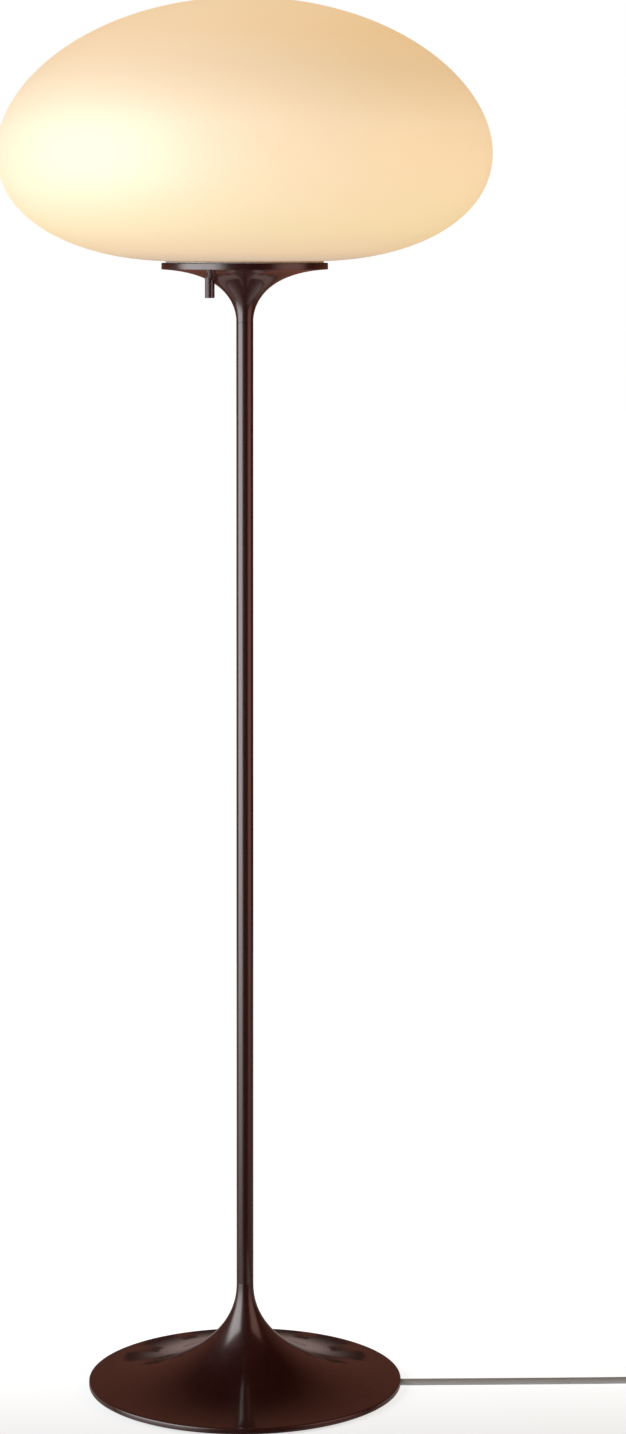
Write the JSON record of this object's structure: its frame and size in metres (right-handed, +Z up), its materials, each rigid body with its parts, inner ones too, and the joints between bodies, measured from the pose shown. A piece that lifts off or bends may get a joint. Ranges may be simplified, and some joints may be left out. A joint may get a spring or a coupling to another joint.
{
  "type": "mushroom floor lamp",
  "caption": "Slim floor lamp: trumpet base, thin stem and upper trumpet carry a flat plate with a mushroom-shaped opal glass; side cord with coil and plug.",
  "frame": {"origin": "on the floor, on the stem's axis, under the middle of the base", "axes": "+Z up along the stem; +X to the side that the cord leaves by; the front, where the knob is easy to reach, is -Y"},
  "size_m": [0.5917, 0.3804, 1.0681],
  "materials": {
    "painted_metal_brown": "smooth glossy chocolate-brown paint with a clear coat",
    "opal_glass": "satin opal glass, lit warm from inside",
    "cord_textile": "light grey braided textile",
    "cast_iron": "rough cast, dark primer",
    "soft_pad": "matt foam rubber",
    "zinc_steel": "zinc plated",
    "spring_steel": "bright spring steel",
    "clear_silicone": "milky silicone",
    "white_metal": "white stove enamel",
    "dark_plastic": "fine-grained moulding",
    "white_plastic": "smooth moulding",
    "lead_insulation": "silicone insulation",
    "ceramic": null,
    "brass": "bright",
    "bulb_steel": "nickel plated",
    "black_glass": "dark glass; modelled as an opaque gloss",
    "bulb_plastic": "frosted, translucent",
    "dark_rubber": "soft rubber",
    "tie_fabric": "hook-and-loop strap",
    "plug_plastic": "grey moulding",
    "nickel_pins": "nickel plated, bright"
  },
  "bodies": {
    "stand": {"foot_ring": "soft_pad", "cover_plate": "zinc_steel", "cover_screws": "zinc_steel", "base_weight": "cast_iron", "base_shell": "painted_metal_brown", "cord_relief": "dark_rubber", "cord_clamp": "zinc_steel", "clamp_screws": "zinc_steel", "lower_nipple": "zinc_steel", "lower_washer": "zinc_steel", "lower_nut": "zinc_steel", "stem_tube": "painted_metal_brown", "upper_nipple": "zinc_steel", "upper_washer": "zinc_steel", "upper_nut": "zinc_steel", "head_flare": "painted_metal_brown", "holder_plate": "painted_metal_brown", "plate_nut": "zinc_steel", "shade_gasket": "clear_silicone", "lamp_cup": "white_metal", "cup_screws": "zinc_steel", "shade_springs": "spring_steel", "dimmer_body": "dark_plastic", "dimmer_nut": "zinc_steel", "inner_cord": "cord_textile", "terminal_block": "white_plastic", "head_leads": "lead_insulation", "holder_nipple": "zinc_steel", "holder_nuts": "zinc_steel", "socket_base": "white_plastic", "socket_core": "ceramic", "socket_thread": "brass", "socket_contact": "brass", "socket_shell": "white_plastic", "cord_run": "cord_textile", "cord_coil": "cord_textile", "cord_tail": "cord_textile", "cord_tie": "tie_fabric", "plug_relief": "plug_plastic", "plug_body": "plug_plastic", "plug_pins": "nickel_pins"},
    "dimmer": {"dimmer_shaft": "zinc_steel", "dimmer_knob": "painted_metal_brown"},
    "shade": {"glass_neck": "opal_glass", "glass_floor": "opal_glass", "glass_bowl": "opal_glass", "glass_shoulder": "opal_glass", "glass_crown": "opal_glass"},
    "bulb": {"bulb_contact": "brass", "bulb_insulator": "black_glass", "bulb_cap": "bulb_steel", "bulb_collar": "bulb_plastic", "bulb_globe": "bulb_plastic"}
  },
  "joints": [
    {"name": "dimmer_turn", "type": "hinge", "parent": "stand", "child": "dimmer", "pos_m": [-0.02678, -0.00975, 0.846], "axis": [0, 0, -1], "range_deg": [0, 270]},
    {"name": "shade_lift", "type": "slide", "parent": "stand", "child": "shade", "axis": [0, 0, 1], "range_m": [0, 0.2]},
    {"name": "bulb_out", "type": "slide", "parent": "stand", "child": "bulb", "axis": [0, 0, 1], "range_m": [0, 0.026]}
  ]
}
